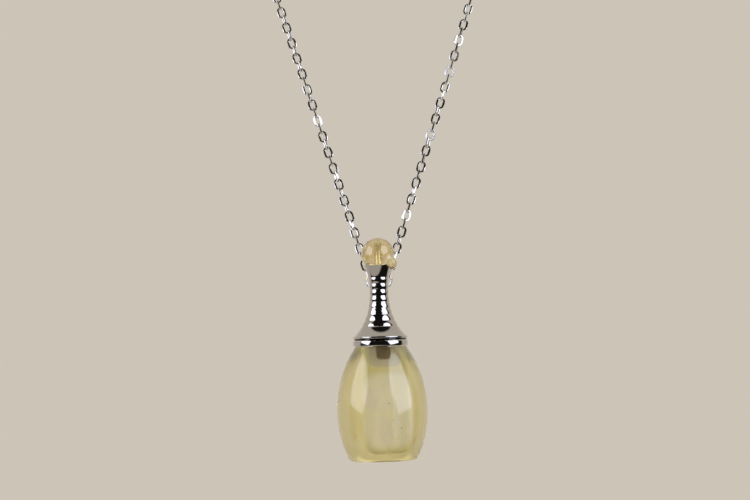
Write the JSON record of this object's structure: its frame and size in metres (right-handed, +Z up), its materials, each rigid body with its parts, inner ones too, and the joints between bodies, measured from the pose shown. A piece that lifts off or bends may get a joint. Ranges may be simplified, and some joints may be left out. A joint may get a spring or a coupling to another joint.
{
  "type": "bottle pendant necklace",
  "caption": "Small hollow stone scent bottle with a ribbed metal screw cap and a stone bead, hanging by a bail from a fine cable chain with a barrel clasp.",
  "frame": {"origin": "where the clasp rests on the back of the wearer's neck, at the inner side of the chain loop", "axes": "+Z up, -Y towards the viewer of the pendant, +X to the viewer's right"},
  "size_m": [0.0874, 0.0838, 0.2106],
  "materials": {
    "stone": "polished translucent pale yellow-green stone",
    "bead_stone": "polished translucent honey-coloured stone",
    "plated_metal": "bright polished plating",
    "chain_metal": "bright polished plating",
    "seal_rubber": "soft translucent grey"
  },
  "bodies": {
    "necklace": {"chain": "chain_metal", "clasp": "chain_metal"},
    "stopper": {"cap": "plated_metal", "bead": "bead_stone", "seal": "seal_rubber"},
    "flask": {"bottle": "stone", "collar": "plated_metal"}
  },
  "joints": [
    {"name": "pendant_swing", "type": "hinge", "parent": "necklace", "child": "stopper", "pos_m": [0, -0.07, -0.168], "axis": [1, 0, 0], "range_deg": [-20, 30]},
    {"name": "bottle_unscrew", "type": "slide", "parent": "stopper", "child": "flask", "axis": [0, 0.1858, -0.9826], "range_m": [0, 0.008]}
  ]
}
